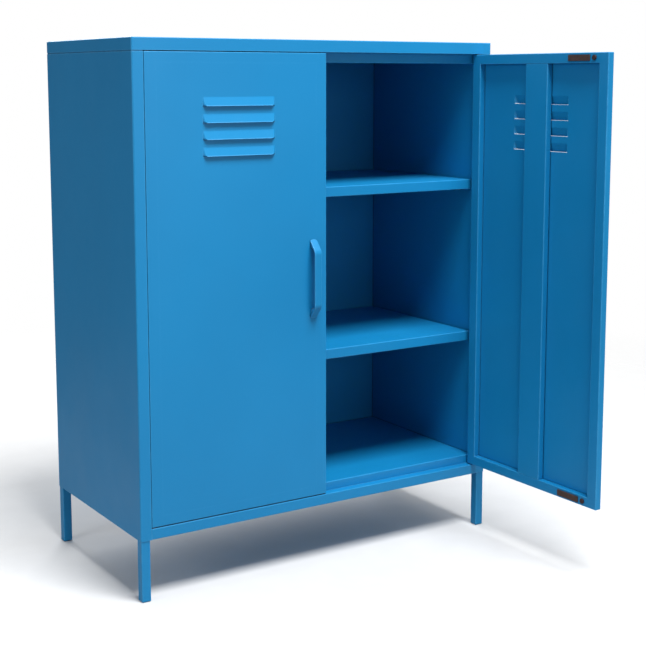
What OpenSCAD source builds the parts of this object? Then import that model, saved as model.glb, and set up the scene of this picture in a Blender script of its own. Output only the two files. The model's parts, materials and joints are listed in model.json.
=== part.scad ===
// Two-door steel locker cabinet on four square legs, with two shelves.
// The origin is on the floor, at the middle of the width, in the plane of the
// door stops. +X is to the right, the doors face -Y, and +Z is up.
// The left door rests closed and the right door rests open.

/* [Cabinet] */
// Overall width
cabinet_w = 800; // [700:10:1000]
// Depth of the body, without the handles
cabinet_d = 400; // [340:10:500]
// Overall height, with the feet
cabinet_h = 1020; // [960:10:1200]
// Height of the body's underside above the floor
leg_h = 116; // [80:1:160]
// Thickness of the sheet steel
sheet = 0.8; // [0.7:0.1:1]
// Outside radius of every fold
fold_r = 1.6; // [1.2:0.1:2]
// Outside radius of the body's upright corners
body_r = 3.5; // [2:0.5:4]

/* [Front frame] */
// Width of the stile beside each door
stile_w = 22; // [20:0.5:30]
// Height of the flange around the top cap
cap_h = 22.5; // [20:0.5:30]
// Height of the seam under the top cap
cap_seam = 1.6; // [0.5:0.1:2]
// Height of the bottom rail's front face
rail_h = 21; // [18:1:30]
// Rise from the bottom rail's ledge to the floor
step_h = 17.5; // [16:0.5:24]
// Height of the door stop below the cap
stop_h = 19.5; // [18:0.5:24]
// Depth of the door stops behind the front face
stop_depth = 17; // [17:0.5:22]

/* [Doors] */
// Thickness of each door
door_t = 14; // [13:0.5:14]
// Gap above and below each door, and between the two doors
door_gap = 1.5; // [1.5:0.1:2.5]
// Gap beside each door's hinge edge
hinge_gap = 0.8; // [0.6:0.1:1.5]
// How far the right door stands open, in degrees
open_angle = 91; // [0:1:96]
// Width of the box border up both sides of the inside
border_w = 23; // [20:0.5:30]
// Height of the box border along the top and bottom of the inside
border_h = 19.5; // [18:0.5:26]
// Width of the stiffener down the middle of the inside
stiffener_w = 61; // [40:1:80]

/* [Louvres] */
// Number of louvres in each door
louvre_count = 4; // [2:1:6]
// Width of a louvre
louvre_w = 150; // [80:1:200]
// Height of the slot behind a louvre
louvre_h = 17.5; // [12:0.5:18]
// Height of the gap under a louvre's lip
louvre_gap = 0.6; // [0.6:0.1:3]
// Distance from one louvre to the next
louvre_pitch = 30; // [24:0.5:36]
// How far a louvre stands out of the door
louvre_out = 5.5; // [4:0.5:8]
// Distance from the door's top edge to the first slot
louvre_drop = 79.5; // [60:0.5:120]

/* [Handles] */
// Height of a handle
handle_l = 152; // [120:1:180]
// Width of the handle's strap
handle_w = 15.5; // [12:0.5:22]
// Thickness of the handle's strap
handle_t = 3; // [2:0.5:4]
// How far a handle stands out of the door
handle_out = 19; // [18:1:28]
// Distance from the door's free edge to the middle of the handle
handle_inset = 29.5; // [24:0.5:40]
// Height of the handle's middle above the door's bottom edge
handle_rise = 430; // [300:5:600]

/* [Shelves] */
// Height of the lower shelf's top
lower_shelf_z = 421; // [380:1:440]
// Height of the upper shelf's top
upper_shelf_z = 741; // [700:1:760]
// Depth of the fold around each shelf
shelf_t = 20; // [16:1:26]
// Set-back of a shelf's front edge behind the door stops
shelf_setback = 7.5; // [6:0.5:20]
// Clearance between a shelf and the wall at each end
shelf_end_gap = 3.5; // [2:0.5:5]

/* [Legs] */
// Side of a leg's square tube
leg_side = 18; // [16:1:25]
// Set-back of a leg from the faces of the body
leg_inset = 1.2; // [0.5:0.1:3]
// Side of the plate on top of a leg
leg_plate = 52; // [50:1:60]

/* [Hidden] */
$fn = 40;
bend_steps = 6;

// The body's faces
half_w = cabinet_w / 2;
front_y = -stop_depth;
back_y = front_y + cabinet_d;
cap_z = cabinet_h - cap_h;
opening_x = half_w - stile_w;
ledge_z = leg_h + rail_h;
floor_z = ledge_z + step_h;
stop_z = cap_z - stop_h;
skin_x = half_w - sheet;
panel_top = cap_z - cap_seam;

// The tongue that the cap slides over
tongue_gap = 0.1;
tongue_top = cabinet_h - 5;
tongue_step = sheet + tongue_gap;
tongue_joggle = sheet - 0.05;

// The back
back_recess = 14;
back_panel_y = back_y - back_recess;
rear_return = 10;
back_half_w = half_w - rear_return - 1;

// The legs and the base
leg_plate_t = 2;
leg_wall = 1.5;
leg_corner_r = 1.8;
leg_clear = 0.6;
leg_plate_r = 2.5;
foot_out = 1;
foot_plug = 16;
pan_t = 1;
pan_flange_h = 20;
pan_z = leg_h + leg_plate_t;
pan_top = pan_z + pan_t;
pan_half_w = skin_x - 0.1;
liner_gap = 2.5;
floor_half_w = opening_x - 0.2;
floor_back_y = back_panel_y - 0.6;
floor_flange = 20;
rail_return = 20;
stop_return = 15;

// The doors, drawn closed on the right-hand side
door_x0 = door_gap / 2;
door_x1 = opening_x - hinge_gap;
door_z0 = ledge_z + door_gap;
door_z1 = cap_z - door_gap;
door_back_y = front_y + door_t;
door_mid_x = (door_x0 + door_x1) / 2;
return_gap = 0.4;

// The hinge pins
pivot_inset = 6;
pivot_x = door_x1 - pivot_inset;
pivot_y = front_y + pivot_inset;
pin_r = 3;
pin_clearance = 0.05;
pin_reach = 6;
bushing_r = 4.2;
bushing_rim_r = 5.4;
bushing_rim_t = 1.2;
bushing_barrel = 2.5;
block_half = pivot_inset - sheet;
block_h = 24;

// The catches
magnet_l = 55;
magnet_h = 11;
magnet_t = 2.4;
magnet_from_edge = 46.5;
catch_drop = 9.6;
catch_zs = [door_z0 + catch_drop, door_z1 - catch_drop];
bumper_r = 4.8;
bumper_t = 2.6;
bumper_from_edge = 35;

// The handles
handle_slope = 22;
handle_bend_r = 17;
handle_x = door_x0 + handle_inset;
handle_z = door_z0 + handle_rise;
boss_r = 5;
boss_out = 9;
boss_from_end = 13;

// The shelves
shelf_half_w = opening_x - shelf_end_gap;
shelf_back_y = back_panel_y - 3;
shelf_return = 14;
clip_pin_r = 2.5;
clip_pin_l = 9;
clip_t = 5;
clip_w = 14;
clip_reach = 12;
clip_ys = [55, floor_back_y - 50];
clip_zs = [lower_shelf_z - shelf_t, upper_shelf_z - shelf_t];

// The fasteners; a shank stays just clear of its thread
shank_gap = 0.02;
screw_r = 2;
screw_l = 10;
screw_head_r = 4;
screw_head_t = 2;
back_screw_x = opening_x + 6;
back_screw_zs = [for (i = [0:4]) leg_h + 70 + i * (cap_z - leg_h - 110) / 4];
cap_screw_x = half_w - 6;
cap_screw_z = cap_z + 10;
leg_bolt_r = 3;
leg_bolt_l = 9;
leg_bolt_head_r = 5.5;
leg_bolt_head_t = 3.5;
leg_hole_r = 3.25;
leg_nut_r = 5.8;
leg_nut_t = 5;
leg_bolt_spots = [[12, 40], [40, 20], [40, 40]];
wall_hole_r = 3;
wall_hole_spacing = 400;
wall_hole_z = cabinet_h - 60;

// ---- Helpers

function unit(v) = v / norm(v);
function left_of(d) = [-d.y, d.x];
function reverse(list) = [for (i = [len(list) - 1:-1:0]) list[i]];

// Points round one bend of a sheet that lies to the left of the path a-b-c;
// shift is 0 along the path itself and the thickness along the far face
function bend(a, b, c, t, r, shift) =
    let (d1 = unit(b - a),
         d2 = unit(c - b),
         angle = atan2(d1.x * d2.y - d1.y * d2.x, d1 * d2),
         side = sign(angle),
         near_r = side > 0 ? r : r - t,
         centre = b - d1 * near_r * tan(abs(angle) / 2) + side * near_r * left_of(d1),
         start = atan2(d1.y, d1.x) - side * 90,
         bend_r = near_r - side * shift)
    [for (i = [0:bend_steps])
        centre + bend_r * [cos(start + angle * i / bend_steps), sin(start + angle * i / bend_steps)]];

// Points along one face of a folded sheet
function face_points(path, t, r, shift) =
    let (last = len(path) - 1,
         d_first = unit(path[1] - path[0]),
         d_last = unit(path[last] - path[last - 1]))
    concat([path[0] + shift * left_of(d_first)],
        [for (i = [1:last - 1]) each bend(path[i - 1], path[i], path[i + 1], t, r, shift)],
        [path[last] + shift * left_of(d_last)]);

// A sheet folded along a path, lying to its left
module folded(path, t = sheet, r = fold_r) {
    polygon(concat(face_points(path, t, r, 0), reverse(face_points(path, t, r, t))));
}

// Draws a Y-Z outline along X
module along_x(x0, x1) {
    translate([x0, 0, 0]) rotate([90, 0, 90]) linear_extrude(x1 - x0) children();
}

// Draws an X-Y outline along Z
module along_z(z0, z1) {
    translate([0, 0, z0]) linear_extrude(z1 - z0) children();
}

// Draws an X-Z outline along Y
module along_y(y0, y1) {
    translate([0, y1, 0]) rotate([90, 0, 0]) linear_extrude(y1 - y0) children();
}

// A round bar or hole along Y, from y0 back to y1
module rod_y(x, z, r, y0, y1) {
    translate([x, y0, z]) rotate([-90, 0, 0]) cylinder(r = r, h = y1 - y0);
}

module block(low, high) {
    translate(low) cube(high - low);
}

// Side 1 is the right-hand side, as drawn, and side -1 is its mirror image
module on_side(side) {
    if (side < 0) mirror([1, 0, 0]) children();
    else children();
}

module both_sides() {
    for (side = [-1, 1]) on_side(side) children();
}

// Points round a corner's centre, through a quarter turn from a start angle
function quarter(centre, r, start) =
    [for (i = [0:bend_steps])
        let (angle = start + 90 * i / bend_steps)
        centre + r * [cos(angle), sin(angle)]];

// Outline with four rounded corners, from its low corner to its high corner
module rounded(low, high, r) {
    polygon(concat(quarter([high.x - r, high.y - r], r, 0), quarter([low.x + r, high.y - r], r, 90),
        quarter([low.x + r, low.y + r], r, 180), quarter([high.x - r, low.y + r], r, 270)));
}

// A block whose edges along X and along Y are rounded
module soft_flat(low, high, r) {
    intersection() {
        along_x(low.x, high.x) rounded([low.y, low.z], [high.y, high.z], r);
        along_y(low.y, high.y) rounded([low.x, low.z], [high.x, high.z], r);
    }
}

// A block whose edges along X and along Z are rounded
module soft_upright(low, high, r) {
    intersection() {
        along_x(low.x, high.x) rounded([low.y, low.z], [high.y, high.z], r);
        along_z(low.z, high.z) rounded([low.x, low.y], [high.x, high.y], r);
    }
}

// A block with every edge rounded, and its own radius for the edges along Z
module soft_all(low, high, r, upright_r) {
    intersection() {
        soft_flat(low, high, r);
        along_z(low.z, high.z) rounded([low.x, low.y], [high.x, high.y], upright_r);
    }
}

// ---- The body

module top_cap() {
    wall = [sheet, sheet, sheet];
    low = [-half_w, front_y, cap_z - 2 * cap_h];
    high = [half_w, back_y, cabinet_h];
    color("steelblue") difference() {
        soft_all(low, high, fold_r, body_r);
        soft_all(low + wall, high - wall, fold_r - sheet, body_r - sheet);
        block(low - wall, [high.x + sheet, high.y + sheet, cap_z]);
        both_sides() rod_y(cap_screw_x, cap_screw_z, screw_r, back_y - 2 * sheet, back_y + sheet);
    }
}

// The plan of a side panel: stile, outer skin and rear return
module side_plan(inset) {
    folded([[opening_x, front_y + inset], [half_w - inset, front_y + inset],
        [half_w - inset, back_y - inset], [half_w - rear_return, back_y - inset]],
        sheet, body_r - inset);
}

module side_panel(side) {
    color("steelblue") on_side(side) difference() {
        union() {
            along_z(leg_h, panel_top) side_plan(0);
            along_z(panel_top - sheet, panel_top) side_plan(tongue_joggle);
            along_z(panel_top - sheet, tongue_top) side_plan(tongue_step);
        }
        rod_y(cap_screw_x, cap_screw_z, screw_r, back_y - 4 * sheet, back_y);
    }
}

module left_side_panel() { side_panel(-1); }
module right_side_panel() { side_panel(1); }

// The plan of a side wall's lining, with a flange at each end out to a given x
module liner_plan(reach) {
    folded([[reach, back_panel_y], [opening_x, back_panel_y], [opening_x, 0], [reach, 0]]);
}

module liner(side) {
    color("steelblue") on_side(side) difference() {
        union() {
            along_z(pan_top, panel_top - 2 * sheet) liner_plan(skin_x);
            along_z(panel_top - 2 * sheet, tongue_top) liner_plan(half_w - liner_gap);
        }
        for (y = clip_ys, z = clip_zs)
            translate([opening_x - sheet, y, z - clip_t / 2]) rotate([0, 90, 0])
                cylinder(r = clip_pin_r, h = 3 * sheet);
        for (z = back_screw_zs)
            rod_y(back_screw_x, z, screw_r, back_panel_y - 2 * sheet, back_panel_y + sheet);
    }
}

module left_liner() { liner(-1); }
module right_liner() { liner(1); }

module back_panel() {
    color("steelblue") difference() {
        block([-back_half_w, back_panel_y, pan_top], [back_half_w, back_panel_y + sheet, tongue_top]);
        both_sides() {
            for (z = back_screw_zs)
                rod_y(back_screw_x, z, screw_r, back_panel_y - sheet, back_panel_y + 2 * sheet);
            rod_y(wall_hole_spacing / 2, wall_hole_z, wall_hole_r,
                back_panel_y - sheet, back_panel_y + 2 * sheet);
        }
    }
}

// The underside: a plate with a flange up each side and across the back
module bottom_pan() {
    color("steelblue") difference() {
        union() {
            along_z(pan_z, pan_top)
                rounded([-pan_half_w, front_y + sheet], [pan_half_w, back_y - sheet], body_r - sheet);
            both_sides() block([pan_half_w - pan_t, 2 * sheet, pan_z],
                [pan_half_w, back_panel_y - 2 * sheet, pan_z + pan_flange_h]);
            block([body_r - pan_half_w, back_y - sheet - pan_t, pan_z],
                [pan_half_w - body_r, back_y - sheet, pan_z + pan_flange_h]);
        }
        at_leg_bolts() translate([0, 0, pan_z - pan_t]) cylinder(r = leg_hole_r, h = 3 * pan_t);
    }
}

// One folded sheet: floor, step, ledge and the bottom rail's face
module floor_panel() {
    color("steelblue") difference() {
        along_x(-floor_half_w, floor_half_w)
            folded([[floor_back_y, floor_z - floor_flange], [floor_back_y, floor_z], [0, floor_z],
                [0, ledge_z], [front_y, ledge_z], [front_y, leg_h], [front_y + rail_return, leg_h]]);
        both_sides() {
            translate([pivot_x, pivot_y, ledge_z - 2 * sheet]) cylinder(r = bushing_r, h = 3 * sheet);
            block([half_w - leg_inset - leg_plate - leg_clear, front_y + sheet, leg_h - sheet],
                [half_w, front_y + 2 * rail_return, pan_z]);
        }
    }
}

// One folded sheet: the tongue behind the cap, the pivot ledge and the door stop
module top_rail() {
    color("steelblue") difference() {
        along_x(-floor_half_w, floor_half_w)
            folded([[front_y + tongue_step, tongue_top], [front_y + tongue_step, cap_z], [0, cap_z],
                [0, stop_z], [stop_return, stop_z]]);
        both_sides() translate([pivot_x, pivot_y, cap_z - sheet])
            cylinder(r = bushing_r, h = 3 * sheet);
    }
}

// ---- The shelves

module shelf(top) {
    wall = [sheet, sheet, sheet];
    low = [-shelf_half_w, shelf_setback, top - shelf_t];
    high = [shelf_half_w, shelf_back_y, top];
    lip = [shelf_return, shelf_return, -sheet];
    color("steelblue") difference() {
        soft_flat(low, high, fold_r);
        soft_flat(low + wall, high - wall, fold_r - sheet);
        block(low + lip, [high.x - shelf_return, high.y - shelf_return, low.z + 2 * sheet]);
    }
}

module upper_shelf() { shelf(upper_shelf_z); }
module lower_shelf() { shelf(lower_shelf_z); }

// Eight pegs, two under each end of each shelf
module shelf_clips() {
    color("silver") both_sides() for (y = clip_ys, z = clip_zs) {
        block([opening_x - clip_reach, y - clip_w / 2, z - clip_t], [opening_x, y + clip_w / 2, z]);
        translate([opening_x - sheet, y, z - clip_t / 2]) rotate([0, 90, 0])
            cylinder(r = clip_pin_r - shank_gap, h = clip_pin_l);
    }
}

// ---- The legs

// Places its children at each leg's outer corner, with +X and +Y pointing inwards
module at_leg(right, rear) {
    translate([(right ? 1 : -1) * (half_w - leg_inset),
        rear ? back_y - leg_inset : front_y + leg_inset, 0])
        mirror([right ? 1 : 0, 0, 0]) mirror([0, rear ? 1 : 0, 0]) children();
}

module at_leg_bolts() {
    for (right = [false, true], rear = [false, true], spot = leg_bolt_spots)
        at_leg(right, rear) translate([spot.x, spot.y, 0]) children();
}

// A square tube under a plate that bolts to the underside
module leg(right, rear) {
    color("steelblue") at_leg(right, rear) difference() {
        union() {
            along_z(foot_out, leg_h) rounded([0, 0], [leg_side, leg_side], leg_corner_r);
            along_z(leg_h, pan_z) rounded([0, 0], [leg_plate, leg_plate], leg_plate_r);
        }
        block([leg_wall, leg_wall, 0], [leg_side - leg_wall, leg_side - leg_wall, leg_h]);
        for (spot = leg_bolt_spots)
            translate([spot.x, spot.y, leg_h - leg_plate_t]) cylinder(r = leg_hole_r, h = 3 * leg_plate_t);
    }
}

module front_left_leg() { leg(false, false); }
module front_right_leg() { leg(true, false); }
module rear_left_leg() { leg(false, true); }
module rear_right_leg() { leg(true, true); }

// Four plugs that close the tubes and stand on the floor
module foot_caps() {
    plug = leg_side - 2 * leg_wall;
    color("dimgray") for (right = [false, true], rear = [false, true])
        at_leg(right, rear) translate([leg_wall, leg_wall, 0]) cube([plug, plug, foot_plug]);
}

// ---- The fasteners and bushings

module pivot_bushings() {
    color("black") both_sides() {
        difference() {
            translate([pivot_x, pivot_y, ledge_z]) union() {
                cylinder(r = bushing_rim_r, h = bushing_rim_t);
                translate([0, 0, -bushing_barrel]) cylinder(r = bushing_r, h = bushing_barrel);
            }
            pivot_hole(ledge_z);
        }
        difference() {
            translate([pivot_x, pivot_y, cap_z]) union() {
                translate([0, 0, -bushing_rim_t]) cylinder(r = bushing_rim_r, h = bushing_rim_t);
                cylinder(r = bushing_r, h = bushing_barrel);
            }
            pivot_hole(cap_z);
        }
    }
}

module pivot_hole(z) {
    translate([pivot_x, pivot_y, z - 2 * bushing_barrel])
        cylinder(r = pin_r + pin_clearance, h = 4 * bushing_barrel);
}

// A pan-head screw whose head stands behind the face y0, driven towards -Y
module rear_screw(x, z, y0) {
    rod_y(x, z, screw_r - shank_gap, y0 - screw_l, y0 + screw_head_t / 2);
    rod_y(x, z, screw_head_r, y0, y0 + screw_head_t);
}

module back_screws() {
    color("silver") both_sides() for (z = back_screw_zs)
        rear_screw(back_screw_x, z, back_panel_y + sheet);
}

module cap_screws() {
    color("silver") both_sides() rear_screw(cap_screw_x, cap_screw_z, back_y);
}

module leg_bolts() {
    color("silver") at_leg_bolts() {
        translate([0, 0, leg_h - leg_bolt_head_t]) cylinder(r = leg_bolt_head_r, h = leg_bolt_head_t);
        translate([0, 0, leg_h - leg_bolt_head_t / 2])
            cylinder(r = leg_bolt_r - shank_gap, h = leg_bolt_l + leg_bolt_head_t / 2);
    }
}

module leg_nuts() {
    color("silver") at_leg_bolts() translate([0, 0, pan_top]) difference() {
        cylinder(r = leg_nut_r, h = leg_nut_t, $fn = 6);
        translate([0, 0, -leg_nut_t]) cylinder(r = leg_bolt_r, h = 3 * leg_nut_t);
    }
}

// ---- The doors

// Turns the right door's pieces open about its pins; the left door stays closed
module hung(side) {
    if (side < 0) mirror([1, 0, 0]) children();
    else translate([pivot_x, pivot_y, 0]) rotate([0, 0, open_angle])
        translate([-pivot_x, -pivot_y, 0]) children();
}

// The Y-Z outline of a louvre's blade, from the top edge of its slot
module louvre_blade(z) {
    lip_z = z - louvre_h + louvre_gap;
    polygon([[front_y + sheet, z], [front_y, z], [front_y - louvre_out, lip_z],
        [front_y - louvre_out + sheet, lip_z], [front_y + sheet, z - 2 * sheet]]);
}

// The Y-Z outline of the cheek that closes each end of a louvre
module louvre_cheek(z) {
    polygon([[front_y + sheet, z], [front_y, z], [front_y - louvre_out, z - louvre_h + louvre_gap],
        [front_y, z - louvre_h], [front_y + sheet, z - louvre_h]]);
}

module door_pan(side) {
    wall = [sheet, sheet, sheet];
    low = [door_x0, front_y, door_z0];
    high = [door_x1, door_back_y, door_z1];
    window_low = [door_x0 + border_w, front_y + sheet + return_gap, door_z0 + border_h];
    window_high = [door_x1 - border_w, door_back_y - sheet / 2, door_z1 - border_h];
    side_wall = [sheet, 0, sheet];
    through = [0, door_t, 0];
    slot_x0 = door_mid_x - louvre_w / 2;
    slot_x1 = door_mid_x + louvre_w / 2;
    slot_tops = [for (i = [0:louvre_count - 1]) door_z1 - louvre_drop - i * louvre_pitch];
    color("steelblue") hung(side) {
        difference() {
            union() {
                difference() {
                    soft_upright(low, high, fold_r);
                    soft_upright(low + wall, high - wall, fold_r - sheet);
                }
                block(window_low - side_wall, window_high + side_wall);
            }
            block(window_low, window_high + through);
            for (z = slot_tops)
                block([slot_x0, front_y - sheet, z - louvre_h], [slot_x1, front_y + 2 * sheet, z]);
            for (z = [door_z0, door_z1])
                translate([pivot_x, pivot_y, z - 2 * sheet]) cylinder(r = pin_r, h = 4 * sheet);
            for (end = [-1, 1])
                rod_y(handle_x, handle_z + end * (handle_l / 2 - boss_from_end), screw_r,
                    front_y - sheet, front_y + 2 * sheet);
        }
        for (z = slot_tops) {
            along_x(slot_x0 - sheet / 2, slot_x1 + sheet / 2) louvre_blade(z);
            for (x = [slot_x0 - sheet, slot_x1]) along_x(x, x + sheet) louvre_cheek(z);
        }
    }
}

module left_door_pan() { door_pan(-1); }
module right_door_pan() { door_pan(1); }

// A channel up the middle of the door, with its lips turned in against the skin
module door_stiffener(side) {
    lip = 9;
    x0 = door_mid_x - stiffener_w / 2;
    x1 = door_mid_x + stiffener_w / 2;
    y0 = front_y + sheet;
    color("steelblue") hung(side) along_z(door_z0 + border_h, door_z1 - border_h)
        folded([[x1 - lip, y0], [x1, y0], [x1, door_back_y], [x0, door_back_y], [x0, y0], [x0 + lip, y0]]);
}

module left_door_stiffener() { door_stiffener(-1); }
module right_door_stiffener() { door_stiffener(1); }

// A bowed strap with a tapped boss behind each sloping end
module handle(side) {
    z0 = handle_z - handle_l / 2;
    z1 = handle_z + handle_l / 2;
    crest_y = front_y - handle_out;
    color("steelblue") hung(side) difference() {
        union() {
            along_x(handle_x - handle_w / 2, handle_x + handle_w / 2)
                folded([[front_y, z1], [crest_y, z1 - handle_slope], [crest_y, z0 + handle_slope],
                    [front_y, z0]], handle_t, handle_bend_r);
            intersection() {
                for (end = [-1, 1])
                    rod_y(handle_x, handle_z + end * (handle_l / 2 - boss_from_end), boss_r,
                        front_y - boss_out, front_y);
                along_x(handle_x - handle_w, handle_x + handle_w)
                    polygon([[front_y, z1], [crest_y, z1 - handle_slope], [crest_y, z0 + handle_slope],
                        [front_y, z0]]);
            }
        }
        block([handle_x - handle_w, front_y, z0 - handle_l], [handle_x + handle_w, 0, z1 + handle_l]);
        for (end = [-1, 1])
            rod_y(handle_x, handle_z + end * (handle_l / 2 - boss_from_end), screw_r,
                front_y - boss_out + handle_t, front_y + sheet);
    }
}

module left_handle() { handle(-1); }
module right_handle() { handle(1); }

module handle_screws(side) {
    color("silver") hung(side) for (end = [-1, 1]) {
        z = handle_z + end * (handle_l / 2 - boss_from_end);
        rod_y(handle_x, z, screw_r - shank_gap, front_y - boss_out + handle_t, front_y + 2 * sheet);
        rod_y(handle_x, z, screw_head_r, front_y + sheet, front_y + sheet + screw_head_t);
    }
}

module left_handle_screws() { handle_screws(-1); }
module right_handle_screws() { handle_screws(1); }

module magnets(side) {
    x0 = door_x0 + magnet_from_edge;
    color("dimgray") hung(side) for (z = catch_zs)
        block([x0, door_back_y, z - magnet_h / 2], [x0 + magnet_l, door_back_y + magnet_t, z + magnet_h / 2]);
}

module left_magnets() { magnets(-1); }
module right_magnets() { magnets(1); }

module bumpers(side) {
    color("black") hung(side) for (z = catch_zs)
        rod_y(door_x0 + bumper_from_edge, z, bumper_r, door_back_y, door_back_y + bumper_t);
}

module left_bumpers() { bumpers(-1); }
module right_bumpers() { bumpers(1); }

// Blocks in the door's hinge corners that hold the pins
module hinge_blocks(side) {
    color("silver") hung(side) for (z = [door_z0 + sheet, door_z1 - sheet - block_h])
        translate([pivot_x, pivot_y, z]) difference() {
            soft_upright([-block_half, -block_half, 0], [block_half, block_half, block_h],
                fold_r - sheet);
            translate([0, 0, -block_h]) cylinder(r = pin_r, h = 3 * block_h);
        }
}

module left_hinge_blocks() { hinge_blocks(-1); }
module right_hinge_blocks() { hinge_blocks(1); }

module pin(side, z0, z1) {
    color("silver") hung(side) translate([pivot_x, pivot_y, z0]) cylinder(r = pin_r, h = z1 - z0);
}

module left_top_pin() { pin(-1, door_z1 - block_h, cap_z + pin_reach); }
module left_bottom_pin() { pin(-1, ledge_z - pin_reach, door_z0 + block_h); }
module right_top_pin() { pin(1, door_z1 - block_h, cap_z + pin_reach); }
module right_bottom_pin() { pin(1, ledge_z - pin_reach, door_z0 + block_h); }

top_cap();
left_side_panel();
right_side_panel();
left_liner();
right_liner();
back_panel();
bottom_pan();
floor_panel();
top_rail();
upper_shelf();
lower_shelf();
shelf_clips();
pivot_bushings();
back_screws();
cap_screws();
front_left_leg();
front_right_leg();
rear_left_leg();
rear_right_leg();
foot_caps();
leg_bolts();
leg_nuts();
left_door_pan();
left_door_stiffener();
left_handle();
left_handle_screws();
left_magnets();
left_bumpers();
left_hinge_blocks();
left_top_pin();
left_bottom_pin();
right_door_pan();
right_door_stiffener();
right_handle();
right_handle_screws();
right_magnets();
right_bumpers();
right_hinge_blocks();
right_top_pin();
right_bottom_pin();
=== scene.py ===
"""The looks of the steel locker cabinet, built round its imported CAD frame. Lengths are in metres."""
import json
import math

import bmesh
import bpy
from mathutils import Matrix, Vector


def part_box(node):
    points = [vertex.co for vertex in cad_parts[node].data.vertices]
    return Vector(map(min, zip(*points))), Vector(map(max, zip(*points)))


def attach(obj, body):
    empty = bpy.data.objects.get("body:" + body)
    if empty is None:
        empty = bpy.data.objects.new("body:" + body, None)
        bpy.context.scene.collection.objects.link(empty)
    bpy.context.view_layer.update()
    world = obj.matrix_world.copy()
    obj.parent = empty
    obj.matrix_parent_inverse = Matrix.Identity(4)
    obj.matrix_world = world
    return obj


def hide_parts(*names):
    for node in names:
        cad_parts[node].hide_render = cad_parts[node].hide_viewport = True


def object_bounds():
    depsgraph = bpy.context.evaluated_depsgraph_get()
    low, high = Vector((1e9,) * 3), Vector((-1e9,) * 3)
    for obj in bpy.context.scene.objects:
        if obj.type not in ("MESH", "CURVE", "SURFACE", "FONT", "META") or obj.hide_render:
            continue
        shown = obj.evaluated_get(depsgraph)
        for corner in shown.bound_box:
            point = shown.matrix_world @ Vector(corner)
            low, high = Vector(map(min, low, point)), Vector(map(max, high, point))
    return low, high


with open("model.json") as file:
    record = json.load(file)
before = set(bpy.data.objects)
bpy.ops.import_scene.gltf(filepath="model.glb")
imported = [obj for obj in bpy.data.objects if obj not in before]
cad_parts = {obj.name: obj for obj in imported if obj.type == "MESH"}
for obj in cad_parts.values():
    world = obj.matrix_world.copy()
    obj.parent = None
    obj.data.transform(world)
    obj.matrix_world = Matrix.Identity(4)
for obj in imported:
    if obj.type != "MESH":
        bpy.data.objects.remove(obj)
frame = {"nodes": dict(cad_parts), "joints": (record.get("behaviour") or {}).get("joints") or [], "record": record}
cad_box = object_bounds()

MM = 0.001

# The camera
CAMERA_PLACE = Vector((-1354, -2113, 951)) * MM
CAMERA_YAW = 32.7  # degrees from +Y towards +X
CAMERA_PITCH = 7.88  # degrees below the horizon
CAMERA_LENS = 73.0
CAMERA_SENSOR = 36
CAMERA_SHIFT = -0.1

# The stage
WORLD_COLOUR = (0.92, 0.96, 1, 1)
WORLD_STRENGTH = 0.26
WORLD_GLOSS_STRENGTH = 0.135
FLOOR_R = 4.2
FLOOR_SIDES = 96
FLOOR_DROP = 0.2 * MM
FLOOR_FADE_START = 0.7
FLOOR_FADE_END = 2.6
FLOOR_UNSEEN = (0.4, 0.4, 0.4, 1)

# The blue powder coat
PAINT_DEEP = (0.004, 0.222, 0.498, 1)
PAINT_LIGHT = (0.006, 0.244, 0.54, 1)
PAINT_PIGMENT = (0.02, 0.31, 0.65, 1)
# Paler blue along edges: thinned paint, and partly a painted highlight
THINNED_PAINT_AND_HIGHLIGHT = (0.12, 0.5, 0.86, 1)
# Near-black blue for crevices, seams and gaps: painted shade
CREVICE_PAINTED_SHADE = (0.001, 0.06, 0.17, 1)
PIGMENT_SHARE = 0.16
# How strongly and how far from an edge the paler blue (thinned paint and painted highlight) is laid on
THINNING_AND_HIGHLIGHT_SHARE = 0.4
THINNING_AND_HIGHLIGHT_REACH = 2.6 * MM
# How far from a corner the painted crevice shade reaches
CREVICE_SHADE_REACH = 3 * MM

# Moulded plastic and rubber
RUB_REACH = 0.5 * MM
RUB_SHARE = 0.5

# Edges
JOIN_DISTANCE = 0.002 * MM
FLAT_ANGLE = 0.5  # degrees between faces that become one
SHARP_ANGLE = 35  # degrees between faces whose edge is rounded
CUT_EDGE_R = 0.2 * MM
SKIN_EDGE_R = 0.15 * MM
SCREW_EDGE_R = 0.08 * MM

# Sheet metal
SHEET = 0.8 * MM
FOLD_R = 1.6 * MM
FOLD_STEPS = 6

# A door's pan: its skin, its folded edges, and the border round the window at its back
BORDER_W = 23 * MM
BORDER_H = 19.5 * MM
RETURN_GAP = 0.4 * MM  # between the skin and the wall round the window
CORNER_R = 1.5 * MM
CORNER_STEPS = 4
TIGHT_R = 0.3 * MM  # the least that a folded corner is rounded
WINDOW_FOLD_R = 1.1 * MM
WINDOW_CORNER_R = 0.6 * MM

# The louvres
LOUVRES = 4
LOUVRE_W = 150 * MM
LOUVRE_H = 17.5 * MM
LOUVRE_PITCH = 30 * MM
LOUVRE_DROP = 79.5 * MM  # from the top of the door to the top of the first louvre
LOUVRE_OUT = 5.5 * MM  # how far the lip stands out
LOUVRE_GAP = 0.6 * MM  # the slot's height under the lip
LOUVRE_END = 4.5 * MM  # how much of the width each rolled end takes
LOUVRE_END_STEPS = 12
LOUVRE_ROWS = 20
LOUVRE_BEND = 0.08  # share of the blade's height that curves out of the door
LOUVRE_LIP = 0.14  # share of the blade's reach that its turned-out lip takes, over the last row
LOUVRE_CORNER_R = 3.5 * MM

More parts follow.
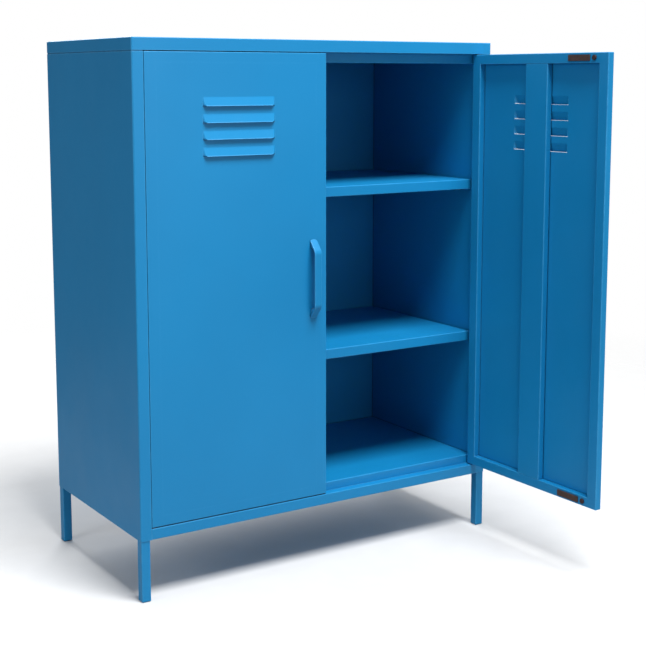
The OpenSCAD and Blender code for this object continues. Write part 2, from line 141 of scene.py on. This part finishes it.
# The handles
HANDLE_T = 3 * MM
HANDLE_SLOPE = 22 * MM  # the height of each sloping end
HANDLE_BEND_R = 17 * MM
HANDLE_BEND_STEPS = 10
HANDLE_SIDE_R = 1.3 * MM
HANDLE_SIDE_STEPS = 3
HANDLE_END_R = 4 * MM
HANDLE_END_STEPS = 5
BOSS_R = 5 * MM
BOSS_FROM_END = 13 * MM
BOSS_FILLET = 1.2 * MM
BOSS_DEPTH = 0.7 * HANDLE_T  # how far under the strap's outer face a boss ends

# The screws
ROUND_SIDES = 24
HEAD_R = 4 * MM
HEAD_T = 2 * MM
SHANK_R = 2 * MM
RECESS_ARM = 2.1 * MM
RECESS_W = 0.55 * MM
RECESS_DEPTH = 1.1 * MM
SCREW_L = 10 * MM


# ---- Node and material helpers


def add_node(tree, kind, inputs=None, **settings):
    """Adds a node. Each input is a value, or another node's output to link."""
    node = tree.nodes.new(kind)
    for name, value in settings.items():
        setattr(node, name, value)
    for name, value in (inputs or {}).items():
        if isinstance(value, bpy.types.NodeSocket):
            tree.links.new(value, node.inputs[name])
        else:
            node.inputs[name].default_value = value
    return node


def math_node(tree, operation, a, b):
    return add_node(tree, "ShaderNodeMath", {0: a, 1: b}, operation=operation).outputs[0]


def noise(tree, place, scale, detail=2.0, roughness=0.5):
    inputs = {"Vector": place, "Scale": scale, "Detail": detail, "Roughness": roughness}
    return add_node(tree, "ShaderNodeTexNoise", inputs).outputs["Fac"]


def spread(tree, value, low, high, to_low=0.0, to_high=1.0):
    """Maps low..high to to_low..to_high, and holds it within them."""
    inputs = {"Value": value, "From Min": low, "From Max": high, "To Min": to_low, "To Max": to_high}
    return add_node(tree, "ShaderNodeMapRange", inputs, clamp=True).outputs["Result"]


def mix_colours(tree, factor, a, b):
    node = add_node(tree, "ShaderNodeMix", data_type="RGBA")
    for socket, value in ((node.inputs[0], factor), (node.inputs[6], a), (node.inputs[7], b)):
        if isinstance(value, bpy.types.NodeSocket):
            tree.links.new(value, socket)
        else:
            socket.default_value = value
    return node.outputs[2]


def bump(tree, height, distance, strength, normal=None):
    inputs = {"Height": height, "Distance": distance, "Strength": strength}
    if normal is not None:
        inputs["Normal"] = normal
    return add_node(tree, "ShaderNodeBump", inputs).outputs["Normal"]


def new_material(name):
    """Returns a material, its node tree, its shader and its object coordinates."""
    material = bpy.data.materials.new(name)
    material.use_nodes = True
    tree = material.node_tree
    shader = tree.nodes["Principled BSDF"]
    place = add_node(tree, "ShaderNodeTexCoord").outputs["Object"]
    return material, tree, shader, place


def edge_mask(tree, radius):
    """0 on open faces, and more than 0 near outside and inside corners."""
    rounded = add_node(tree, "ShaderNodeBevel", {"Radius": radius}, samples=4).outputs["Normal"]
    true_normal = add_node(tree, "ShaderNodeNewGeometry").outputs["Normal"]
    facing = add_node(tree, "ShaderNodeVectorMath", {0: rounded, 1: true_normal}, operation="DOT_PRODUCT")
    return math_node(tree, "SUBTRACT", 1.0, facing.outputs["Value"])


# ---- Materials


def powder_coat():
    """Satin blue powder coat: orange peel, fine grain, broad drift in tone, paint thinned along edges with a
    painted highlight there, and painted shade in crevices.
    """
    material, tree, shader, place = new_material("blue_powder_coat")
    # Ambient occlusion: drives the painted shade in crevices, and keeps the paler edges off hollows
    ao = add_node(tree, "ShaderNodeAmbientOcclusion", {"Distance": CREVICE_SHADE_REACH}, samples=6)
    open_sky = ao.outputs["AO"]
    thinning_and_highlight = paint_thinning_and_highlight(tree, place, open_sky)
    tree.links.new(paint_colour(tree, place, open_sky, thinning_and_highlight), shader.inputs["Base Color"])
    smear = spread(tree, noise(tree, place, 9.0, detail=5.0, roughness=0.6), 0.3, 0.7, 0.36, 0.47)
    rough = math_node(tree, "SUBTRACT", smear, math_node(tree, "MULTIPLY", thinning_and_highlight, 0.1))
    tree.links.new(rough, shader.inputs["Roughness"])
    panel = bump(tree, noise(tree, place, 3.2, detail=1.0), distance=3.0 * MM, strength=0.16)
    peel = bump(tree, noise(tree, place, 430.0), distance=0.08 * MM, strength=0.35, normal=panel)
    fine = noise(tree, place, 1900.0, detail=1.0)
    grain = bump(tree, fine, distance=0.02 * MM, strength=0.3, normal=peel)
    tree.links.new(grain, shader.inputs["Normal"])
    shader.inputs["Specular IOR Level"].default_value = 0.36
    shader.inputs["Coat Weight"].default_value = 0.05
    shader.inputs["Coat Roughness"].default_value = 0.22
    return material


def paint_thinning_and_highlight(tree, place, open_sky):
    """How much paler an edge is, from thinned paint and a painted highlight: near 1 in patches along outside
    edges, and 0 elsewhere.
    """
    broken = spread(tree, noise(tree, place, 55.0, detail=4.0, roughness=0.65), 0.34, 0.62, 0.25, 1.0)
    outside = math_node(tree, "MULTIPLY", broken, spread(tree, open_sky, 0.5, 0.85))
    edges = spread(tree, edge_mask(tree, THINNING_AND_HIGHLIGHT_REACH), 0.004, 0.05)
    return math_node(tree, "MULTIPLY", edges, outside)


def paint_colour(tree, place, open_sky, thinning_and_highlight):
    """The coat's blue: it drifts slowly, is paler along edges from thinned paint and a painted highlight, and
    darker in crevices from painted shade.
    """
    drift = spread(tree, noise(tree, place, 2.6, detail=3.0), 0.35, 0.65)
    colour = mix_colours(tree, drift, PAINT_DEEP, PAINT_LIGHT)
    pigment = spread(tree, noise(tree, place, 1600.0, detail=1.0), 0.3, 0.7, 0.0, PIGMENT_SHARE)
    colour = mix_colours(tree, pigment, colour, PAINT_PIGMENT)
    # Paler along outside edges: thinned paint and a painted highlight
    colour = mix_colours(tree, math_node(tree, "MULTIPLY", thinning_and_highlight, THINNING_AND_HIGHLIGHT_SHARE), colour, THINNED_PAINT_AND_HIGHLIGHT)
    # Darker where little sky is seen: painted shade in crevices, seams and gaps
    return mix_colours(tree, spread(tree, open_sky, 0.35, 0.9), CREVICE_PAINTED_SHADE, colour)


def metal(name, bright, dull, stretch, roughness):
    """Plated or drawn metal. The smaller stretch is along an axis, the longer its marks are there."""
    material, tree, shader, place = new_material(name)
    mapping = add_node(tree, "ShaderNodeMapping", {"Vector": place, "Scale": stretch})
    marks = noise(tree, mapping.outputs["Vector"], 900.0, detail=3.0)
    colour = mix_colours(tree, spread(tree, marks, 0.3, 0.7), dull, bright)
    tree.links.new(colour, shader.inputs["Base Color"])
    stain = noise(tree, place, 120.0, detail=4.0)
    rough = spread(tree, stain, 0.3, 0.75, roughness, roughness + 0.18)
    tree.links.new(rough, shader.inputs["Roughness"])
    tree.links.new(bump(tree, marks, distance=0.01 * MM, strength=0.4), shader.inputs["Normal"])
    shader.inputs["Metallic"].default_value = 1.0
    return material


def moulded(name, dark, light, roughness, grain_scale):
    """Moulded plastic or rubber, with a fine grain and rubbed edges."""
    material, tree, shader, place = new_material(name)
    mottle = spread(tree, noise(tree, place, 160.0, detail=4.0), 0.3, 0.7)
    colour = mix_colours(tree, mottle, dark, light)
    rub = spread(tree, edge_mask(tree, RUB_REACH), 0.03, 0.35, 0.0, RUB_SHARE)
    rubbed = tuple(min(1.0, 1.8 * c + 0.02) for c in light[:3]) + (1,)
    tree.links.new(mix_colours(tree, rub, colour, rubbed), shader.inputs["Base Color"])
    rough = spread(tree, noise(tree, place, 300.0), 0.3, 0.7, roughness - 0.06, roughness + 0.06)
    tree.links.new(rough, shader.inputs["Roughness"])
    grain = bump(tree, noise(tree, place, grain_scale), distance=0.05 * MM, strength=0.5)
    tree.links.new(grain, shader.inputs["Normal"])
    return material


def make_materials():
    """One material for each material slot in the record."""
    return {
        "blue_paint": powder_coat(),
        "zinc": metal("bright_zinc", bright=(0.62, 0.64, 0.66, 1), dull=(0.42, 0.44, 0.47, 1),
                      stretch=(1, 1, 1), roughness=0.3),
        "pin_steel": metal("drawn_steel", bright=(0.56, 0.56, 0.57, 1), dull=(0.36, 0.36, 0.37, 1),
                           stretch=(6, 6, 0.4), roughness=0.26),
        "nylon": moulded("black_nylon", dark=(0.012, 0.012, 0.013, 1), light=(0.024, 0.024, 0.026, 1),
                         roughness=0.42, grain_scale=900.0),
        "foot_plastic": moulded("black_plastic", dark=(0.012, 0.012, 0.014, 1),
                                light=(0.022, 0.022, 0.024, 1), roughness=0.5, grain_scale=1100.0),
        "magnet": moulded("bonded_magnet", dark=(0.055, 0.026, 0.018, 1), light=(0.095, 0.045, 0.03, 1),
                          roughness=0.55, grain_scale=1500.0),
        "bumper_rubber": moulded("bumper_rubber", dark=(0.03, 0.012, 0.012, 1),
                                 light=(0.05, 0.02, 0.02, 1), roughness=0.7, grain_scale=1300.0),
    }


# ---- Mesh helpers


def seam_group():
    """Joins the split corners of an imported mesh and shades it smooth."""
    tree = bpy.data.node_groups.new("join_and_smooth", "GeometryNodeTree")
    tree.interface.new_socket("Geometry", in_out="INPUT", socket_type="NodeSocketGeometry")
    tree.interface.new_socket("Geometry", in_out="OUTPUT", socket_type="NodeSocketGeometry")
    start = add_node(tree, "NodeGroupInput").outputs[0]
    merge = {"Geometry": start, "Distance": JOIN_DISTANCE}
    joined = add_node(tree, "GeometryNodeMergeByDistance", merge)
    smooth = add_node(tree, "GeometryNodeSetShadeSmooth", {"Geometry": joined.outputs[0]})
    add_node(tree, "NodeGroupOutput", {0: smooth.outputs[0]})
    return tree


def soften(piece, width):
    """Rounds every sharp edge, and keeps open faces flat."""
    bevel = piece.modifiers.new("edges", "BEVEL")
    bevel.width = width
    bevel.segments = 2
    bevel.limit_method = "ANGLE"
    bevel.angle_limit = math.radians(SHARP_ANGLE)
    bevel.use_clamp_overlap = False
    bevel.loop_slide = False
    piece.modifiers.new("normals", "WEIGHTED_NORMAL").keep_sharp = True


def finish_cad_node(piece, material, group):
    """A CAD node keeps its mesh, and takes a material and rounded edges."""
    piece.data.materials.clear()
    piece.data.materials.append(material)
    piece.modifiers.new("seams", "NODES").node_group = group
    planar = piece.modifiers.new("flats", "DECIMATE")
    planar.decimate_type = "DISSOLVE"
    planar.angle_limit = math.radians(FLAT_ANGLE)
    soften(piece, CUT_EDGE_R)


def new_piece(name, bm, material, body, replaced):
    """Makes a piece of the bmesh that rides on a body and stands for a CAD node."""
    mesh = bpy.data.meshes.new(name)
    for face in bm.faces:
        face.smooth = True
    bm.to_mesh(mesh)
    bm.free()
    mesh.materials.append(material)
    piece = bpy.data.objects.new(name, mesh)
    bpy.context.scene.collection.objects.link(piece)
    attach(piece, body)
    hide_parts(replaced)
    return piece


def ring(bm, points):
    return [bm.verts.new(p) for p in points]


def bridge(bm, a, b):
    """Joins two closed rings that have the same number of points."""
    for i in range(len(a)):
        k = (i + 1) % len(a)
        bm.faces.new((a[i], a[k], b[k], b[i]))


def right_hinge():
    """The right door's pivot, and its turn from closed to its rest pose."""
    joint = next(j for j in frame["joints"] if j["child"] == "right_door")
    closed, _ = joint["range_deg"]
    return Vector(joint["pos_m"]), math.radians(-closed)


def hang(bm, side):
    """Takes a piece made for the closed right door to the named door at its rest pose."""
    if side == "left":
        bm.transform(Matrix.Scale(-1, 4, (1, 0, 0)))
        bmesh.ops.reverse_faces(bm, faces=bm.faces)
        return
    pivot, turn = right_hinge()
    swing = Matrix.Rotation(turn, 4, "Z")
    bm.transform(Matrix.Translation(pivot) @ swing @ Matrix.Translation(-pivot))


# ---- The doors


def door_box():
    """The closed right door's lowest and highest corners, without its louvres."""
    low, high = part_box("left_door_pan")
    return Vector((-high.x, low.y + LOUVRE_OUT, low.z)), Vector((-low.x, high.y, high.z))


def quarter_turn(steps):
    return [math.radians(90) * i / steps for i in range(steps + 1)]


def pan_profile(front, back):
    """The pan's outer face as (inset in x, inset in z, y, corner radius), from the front face round
    the edge and the border to the inner end of the wall round its window."""
    rows = []
    for a in quarter_turn(FOLD_STEPS):
        inset = FOLD_R * (1 - math.sin(a))
        rows.append((inset, inset, front + FOLD_R * (1 - math.cos(a)), max(CORNER_R - inset, TIGHT_R)))
    for a in quarter_turn(FOLD_STEPS):
        inset = FOLD_R * (1 - math.cos(a))
        rows.append((inset, inset, back - FOLD_R * (1 - math.sin(a)), max(CORNER_R - inset, TIGHT_R)))
    for a in quarter_turn(FOLD_STEPS):
        short = WINDOW_FOLD_R * (1 - math.sin(a))
        y = back - WINDOW_FOLD_R * (1 - math.cos(a))
        rows.append((BORDER_W - short, BORDER_H - short, y, WINDOW_CORNER_R + short))
    rows.append((BORDER_W, BORDER_H, front + SHEET + RETURN_GAP, WINDOW_CORNER_R))
    return rows


def rounded_outline(x0, x1, z0, z1, y, radius):
    """Points round an upright rectangle, from its low right corner, anticlockwise seen from the front."""
    points = []
    corners = ((x1, z0, -90), (x1, z1, 0), (x0, z1, 90), (x0, z0, 180))
    for x, z, start in corners:
        cx = x - math.copysign(radius, x - (x0 + x1) / 2)
        cz = z - math.copysign(radius, z - (z0 + z1) / 2)
        for a in quarter_turn(CORNER_STEPS):
            turn = math.radians(start) + a
            points.append((cx + radius * math.cos(turn), y, cz + radius * math.sin(turn)))
    return points


def round_over(t):
    """Rises steeply from 0 and rolls over flat at 1."""
    return math.sin(math.radians(90) * min(max(t, 0.0), 1.0))


def blade_rise(v):
    """How far out a louvre stands, from 0 at the top of its blade to 1 at the lip."""
    lip_starts = 1 - 1 / LOUVRE_ROWS
    if v > lip_starts:
        return 1 - LOUVRE_LIP * (1 - v) * LOUVRE_ROWS
    slope = (1 - LOUVRE_LIP) / (lip_starts - LOUVRE_BEND / 2)
    if v < LOUVRE_BEND:
        return slope * v * v / (2 * LOUVRE_BEND)
    return slope * (v - LOUVRE_BEND / 2)


def corner_inset(up):
    """How far in a louvre's rounded lower corner starts, at a height above its lip."""
    short = LOUVRE_CORNER_R - min(up, LOUVRE_CORNER_R)
    return LOUVRE_CORNER_R - math.sqrt(LOUVRE_CORNER_R ** 2 - short ** 2)


def louvre_columns(x0, x1):
    """Where a louvre's grid lines stand, close together over its formed ends."""
    reach = LOUVRE_END + LOUVRE_CORNER_R
    ends = [reach * i / LOUVRE_END_STEPS for i in range(LOUVRE_END_STEPS + 1)]
    return [x0 + d for d in ends] + [(x0 + x1) / 2] + [x1 - d for d in reversed(ends)]


def louvre(bm, columns, front, top):
    """Presses one louvre. Returns its grid of points and the two low corners of its slot."""
    x0, x1 = columns[0], columns[-1]
    height = LOUVRE_H - LOUVRE_GAP
    grid = []
    for j in range(LOUVRE_ROWS + 1):
        v = j / LOUVRE_ROWS
        row = []
        for x in columns:
            inside = min(x - x0, x1 - x) - corner_inset((1 - v) * height)
            out = LOUVRE_OUT * blade_rise(v) * round_over(inside / LOUVRE_END)
            row.append(bm.verts.new((x, front - out, top - v * height)))
        grid.append(row)
    for upper, lower in zip(grid, grid[1:]):
        for i in range(len(columns) - 1):
            bm.faces.new((upper[i], lower[i], lower[i + 1], upper[i + 1]))
    corners = [bm.verts.new((x, front, top - LOUVRE_H)) for x in (x0, x1)]
    return grid, corners


def louvre_side(made, end):
    """The points down one side of all the louvres, where end is 0 on the left and -1 on the right."""
    points = []
    for grid, corners in made:
        points += [row[end] for row in grid]
        points.append(corners[end])
    return points


def face_plate(bm, edge, front, low, high):
    """Fills the front face inside its folded edge, round the louvres."""
    middle = (low.x + high.x) / 2
    columns = louvre_columns(middle - LOUVRE_W / 2, middle + LOUVRE_W / 2)
    tops = [high.z - LOUVRE_DROP - i * LOUVRE_PITCH for i in range(LOUVRES)]
    made = [louvre(bm, columns, front, top) for top in tops]
    for (_, above), (below, _) in zip(made, made[1:]):
        bm.faces.new(below[0] + [above[1], above[0]])
    left = louvre_side(made, 0)
    right = louvre_side(made, -1)
    size = CORNER_STEPS + 1
    low_right, high_right, high_left, low_left = [edge[i * size:(i + 1) * size] for i in range(4)]
    bm.faces.new([low_right[-1]] + high_right + right)
    bm.faces.new([high_right[-1]] + high_left + made[0][0][0])
    bm.faces.new([high_left[-1]] + low_left + left[::-1])
    bm.faces.new([low_left[-1]] + low_right + [right[-1], left[-1]])


def face_outwards(bm):
    """Turns the faces of a door's open sheet so that its largest one faces the front."""
    bmesh.ops.recalc_face_normals(bm, faces=bm.faces)
    bm.normal_update()
    plate = max(bm.faces, key=lambda face: face.calc_area())
    if plate.normal.y > 0:
        bmesh.ops.reverse_faces(bm, faces=bm.faces)


def door_skin(side, material):
    """The pan of one door: skin, folded edges, box border and pressed louvres, in one sheet."""
    low, high = door_box()
    bm = bmesh.new()
    rings = []
    for inset_x, inset_z, y, radius in pan_profile(low.y, high.y):
        x0, x1 = low.x + inset_x, high.x - inset_x
        z0, z1 = low.z + inset_z, high.z - inset_z
        rings.append(ring(bm, rounded_outline(x0, x1, z0, z1, y, radius)))
    for a, b in zip(rings, rings[1:]):
        bridge(bm, a, b)
    face_plate(bm, rings[0], low.y, low, high)
    face_outwards(bm)
    hang(bm, side)
    name, body, node = side + "_door_skin", side + "_door", side + "_door_pan"
    piece = new_piece(name, bm, material, body, node)
    thick = piece.modifiers.new("sheet", "SOLIDIFY")
    thick.thickness = SHEET
    thick.offset = -1
    thick.use_even_offset = True
    soften(piece, SKIN_EDGE_R)


def bend_points(before, corner, after, radius, steps):
    """Points round one bend of a path, as (point, direction)."""
    into = (corner - before).normalized()
    away = (after - corner).normalized()
    turn = into.angle(away)
    reach = radius * math.tan(turn / 2)
    axis = into.cross(away).normalized()
    centre = corner - into * reach + axis.cross(into) * radius
    points = []
    for i in range(steps + 1):
        spin = Matrix.Rotation(turn * i / steps, 3, axis)
        points.append((centre - (spin @ axis.cross(into)) * radius, spin @ into))
    return points


def handle_path(x, front, crest, z0, z1):
    """The middle line of the strap's outer face, from its top end to its bottom end."""
    marks = [Vector((x, front, z1)), Vector((x, crest, z1 - HANDLE_SLOPE)),
             Vector((x, crest, z0 + HANDLE_SLOPE)), Vector((x, front, z0))]
    start = (marks[1] - marks[0]).normalized()
    end = (marks[3] - marks[2]).normalized()
    tips = [HANDLE_END_R * (1 - math.cos(a)) for a in quarter_turn(HANDLE_END_STEPS)]
    path = [(marks[0] + start * t, start) for t in tips]
    path += bend_points(marks[0], marks[1], marks[2], HANDLE_BEND_R, HANDLE_BEND_STEPS)
    path += bend_points(marks[1], marks[2], marks[3], HANDLE_BEND_R, HANDLE_BEND_STEPS)
    path += [(marks[3] - end * t, end) for t in reversed(tips)]
    return path


def strap_section(half_width, out, along, point, front):
    """One rounded section of the strap, held in front of the door's face."""
    radius = min(HANDLE_SIDE_R, half_width * 0.9)
    side, top, bottom = half_width - radius, -radius, radius - HANDLE_T
    corners = ((side, top, 0), (-side, top, 90), (-side, bottom, 180), (side, bottom, 270))
    section = []
    for cx, cy, start in corners:
        for a in quarter_turn(HANDLE_SIDE_STEPS):
            turn = math.radians(start) + a
            across = cx + radius * math.cos(turn)
            up = cy + radius * math.sin(turn)
            spot = point + Vector((across, 0, 0)) + out * up
            if spot.y > front:
                spot = spot - along * ((spot.y - front) / along.y)
            section.append(spot)
    return section


def strap(bm, middle, half, low, high, front):
    """A closed strap along its path, with rounded sides and ends."""
    path = handle_path(middle, front, low.y, low.z, high.z)
    widths = [half - HANDLE_END_R * (1 - math.sin(a)) for a in quarter_turn(HANDLE_END_STEPS)]
    widths += [half] * (len(path) - 2 * len(widths)) + widths[::-1]
    rings = []
    for (point, along), width in zip(path, widths):
        out = Vector((1, 0, 0)).cross(along).normalized()
        out = out if out.y < 0 else -out
        rings.append(ring(bm, strap_section(width, out, along, point, front)))
    for a, b in zip(rings, rings[1:]):
        bridge(bm, a, b)
    bm.faces.new(rings[0])
    bm.faces.new(rings[-1])


def handle(side, material):
    """A bowed strap on two bosses."""
    low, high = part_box("left_handle")
    door_low, _ = door_box()
    x0, x1 = -high.x, -low.x
    front = door_low.y
    middle, half = (x0 + x1) / 2, (x1 - x0) / 2
    pitch = (front - low.y) / HANDLE_SLOPE
    bm = bmesh.new()
    strap(bm, middle, half, low, high, front)
    boss(bm, middle, high.z - BOSS_FROM_END, front, -pitch)
    boss(bm, middle, low.z + BOSS_FROM_END, front, pitch)
    bmesh.ops.recalc_face_normals(bm, faces=bm.faces)
    hang(bm, side)
    name, body, node = side + "_handle_strap", side + "_door", side + "_handle"
    piece = new_piece(name, bm, material, body, node)
    piece.modifiers.new("normals", "WEIGHTED_NORMAL").keep_sharp = True


def circle():
    """Points evenly round a unit circle."""
    turns = [math.tau * i / ROUND_SIDES for i in range(ROUND_SIDES)]
    return [(math.cos(a), math.sin(a)) for a in turns]


def boss(bm, x, z, front, pitch):
    """A round boss from the door's face into the strap's slope, with a small fillet at its foot."""
    length = BOSS_FROM_END * abs(pitch) - BOSS_DEPTH
    profile = [(BOSS_R + BOSS_FILLET, 0, 0), (BOSS_R + BOSS_FILLET * 0.3, BOSS_FILLET * 0.3, 0),
               (BOSS_R, BOSS_FILLET, 0), (BOSS_R, length, pitch)]
    rings = []
    for radius, out, slant in profile:
        points = [(x + radius * c, front - out - slant * radius * s, z + radius * s) for c, s in circle()]
        rings.append(ring(bm, points))
    for a, b in zip(rings, rings[1:]):
        bridge(bm, a, b)
    bm.faces.new(rings[0])
    bm.faces.new(rings[-1])


# ---- Screws


def cross_outline(arm, half):
    """The twelve corners of a cross, anticlockwise."""
    quarter = [(arm, -half), (arm, half), (half, half)]
    points = []
    for turn in range(4):
        c, s = round(math.cos(turn * math.pi / 2)), round(math.sin(turn * math.pi / 2))
        points += [(c * a - s * b, s * a + c * b) for a, b in quarter]
    return points


def edge_between(bm, a, b):
    return bm.edges.get((a, b)) or bm.edges.new((a, b))


def loop_edges(bm, loop):
    return [edge_between(bm, a, b) for a, b in zip(loop, loop[1:] + loop[:1])]


def screw(bm, place, direction):
    """A pan-head screw with a cross recess. Its head sits at place, and direction is its outward axis."""
    turn = Vector((0, 0, 1)).rotation_difference(direction).to_matrix().to_4x4()
    seat = Matrix.Translation(place) @ turn
    shank = SHANK_R * 0.98
    # Radius and height, from the tip of the shank to the rim of the head's flat top
    profile = [(shank, -SCREW_L), (shank, 0), (HEAD_R, 0), (HEAD_R, 0.9 * MM),
               (HEAD_R * 0.93, 1.4 * MM), (HEAD_R * 0.78, 1.75 * MM), (HEAD_R * 0.6, HEAD_T)]
    rings = []
    for radius, height in profile:
        rings.append(ring(bm, [seat @ Vector((radius * c, radius * s, height)) for c, s in circle()]))
    for a, b in zip(rings, rings[1:]):
        bridge(bm, a, b)
    bm.faces.new(rings[0])
    cross = cross_outline(RECESS_ARM, RECESS_W)
    bed_z = HEAD_T - RECESS_DEPTH
    mouth = ring(bm, [seat @ Vector((x, y, HEAD_T)) for x, y in cross])
    bed = ring(bm, [seat @ Vector((x * 0.7, y * 0.85, bed_z)) for x, y in cross])
    bridge(bm, mouth, bed)
    bm.faces.new(bed)
    edges = loop_edges(bm, rings[-1]) + loop_edges(bm, mouth)
    bmesh.ops.triangle_fill(bm, use_beauty=True, edges=edges)


def screws(node, name, rows, material):
    """A node's screws on the back: the same number up each side, evenly spaced."""
    low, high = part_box(node)
    bm = bmesh.new()
    for i in range(rows):
        share = i / (rows - 1) if rows > 1 else 0.5
        z = low.z + HEAD_R + share * (high.z - low.z - 2 * HEAD_R)
        for x in (low.x + HEAD_R, high.x - HEAD_R):
            screw(bm, Vector((x, high.y - HEAD_T, z)), Vector((0, 1, 0)))
    bmesh.ops.recalc_face_normals(bm, faces=bm.faces)
    piece = new_piece(name, bm, material, "cabinet", node)
    soften(piece, SCREW_EDGE_R)


# ---- The stage


def add_camera():
    data = bpy.data.cameras.new("camera")
    data.lens = CAMERA_LENS
    data.sensor_width = CAMERA_SENSOR
    data.shift_y = CAMERA_SHIFT
    camera = bpy.data.objects.new("camera", data)
    bpy.context.scene.collection.objects.link(camera)
    camera.location = CAMERA_PLACE
    camera.rotation_euler = (math.radians(90 - CAMERA_PITCH), 0, -math.radians(CAMERA_YAW))
    bpy.context.scene.camera = camera


def add_softbox(name, offset, width, height, power):
    """A soft light at an offset from the cabinet's middle, aimed at it."""
    data = bpy.data.lights.new(name, "AREA")
    data.shape = "RECTANGLE"
    data.size = width
    data.size_y = height
    data.energy = power
    light = bpy.data.objects.new(name, data)
    bpy.context.scene.collection.objects.link(light)
    middle = (cad_box[0] + cad_box[1]) / 2
    place = middle + Vector(offset)
    light.location = place
    light.rotation_euler = (middle - place).to_track_quat("-Z", "Y").to_euler()


def add_lights():
    add_softbox("key", (0.05, -1.6, 3.6), width=1.8, height=1.4, power=225)
    add_softbox("left_fill", (-3.2, -0.5, 1.0), width=1.4, height=1.6, power=18)
    add_softbox("right_fill", (3.2, -0.5, 1.0), width=1.4, height=1.6, power=12)
    add_softbox("front_fill", (0.6, -3.4, 0.6), width=1.0, height=1.2, power=13)
    add_softbox("back_fill", (0.6, 3.0, 1.6), width=2.4, height=1.8, power=62)


def background(tree, colour, strength):
    inputs = {"Color": colour, "Strength": strength}
    return add_node(tree, "ShaderNodeBackground", inputs).outputs[0]


def mix_shaders(tree, factor, a, b):
    return add_node(tree, "ShaderNodeMixShader", {0: factor, 1: a, 2: b}).outputs[0]


def add_world():
    """White to the camera, and a soft pale light on the cabinet, dimmer in its reflections."""
    world = bpy.data.worlds.new("studio")
    bpy.context.scene.world = world
    world.use_nodes = True
    tree = world.node_tree
    tree.nodes.clear()
    seen = background(tree, (1, 1, 1, 1), 1.0)
    lit = background(tree, WORLD_COLOUR, WORLD_STRENGTH)
    gloss = background(tree, WORLD_COLOUR, WORLD_GLOSS_STRENGTH)
    path = add_node(tree, "ShaderNodeLightPath").outputs
    unseen = mix_shaders(tree, path["Is Glossy Ray"], lit, gloss)
    both = mix_shaders(tree, path["Is Camera Ray"], unseen, seen)
    add_node(tree, "ShaderNodeOutputWorld", {"Surface": both})


def floor_material():
    """Pale matt floor that throws little light back up, and fades into the white surroundings."""
    material, tree, shader, place = new_material("pale_floor")
    distance = add_node(tree, "ShaderNodeVectorMath", {0: place}, operation="LENGTH")
    fade = spread(tree, distance.outputs["Value"], FLOOR_FADE_START, FLOOR_FADE_END)
    mottle = spread(tree, noise(tree, place, 14.0, detail=5.0), 0.3, 0.7)
    pale = mix_colours(tree, mottle, (0.76, 0.76, 0.76, 1), (0.79, 0.79, 0.79, 1))
    seen = add_node(tree, "ShaderNodeLightPath").outputs["Is Camera Ray"]
    tree.links.new(mix_colours(tree, seen, FLOOR_UNSEEN, pale), shader.inputs["Base Color"])
    shader.inputs["Roughness"].default_value = 0.75
    clear = add_node(tree, "ShaderNodeBsdfTransparent").outputs[0]
    both = mix_shaders(tree, fade, shader.outputs[0], clear)
    tree.links.new(both, tree.nodes["Material Output"].inputs["Surface"])
    return material


def add_floor():
    bm = bmesh.new()
    bmesh.ops.create_circle(bm, cap_ends=True, segments=FLOOR_SIDES, radius=FLOOR_R)
    mesh = bpy.data.meshes.new("floor")
    bm.to_mesh(mesh)
    bm.free()
    mesh.materials.append(floor_material())
    floor = bpy.data.objects.new("floor", mesh)
    bpy.context.scene.collection.objects.link(floor)
    floor.location.z = cad_box[0].z - FLOOR_DROP


# ---- The cabinet


def slot_of_nodes():
    return {part["node"]: part["material_slot"] for part in frame["record"]["subparts"]}


def build_cabinet():
    materials = make_materials()
    slots = slot_of_nodes()
    group = seam_group()
    for node, piece in frame["nodes"].items():
        finish_cad_node(piece, materials[slots[node]], group)
    for side in ("left", "right"):
        door_skin(side, materials["blue_paint"])
        handle(side, materials["blue_paint"])
    screws("back_screws", "back_panel_screws", 5, materials["zinc"])
    screws("cap_screws", "top_cap_screws", 1, materials["zinc"])


bpy.context.scene.view_settings.view_transform = "Standard"
add_camera()
add_world()
add_lights()
add_floor()
build_cabinet()
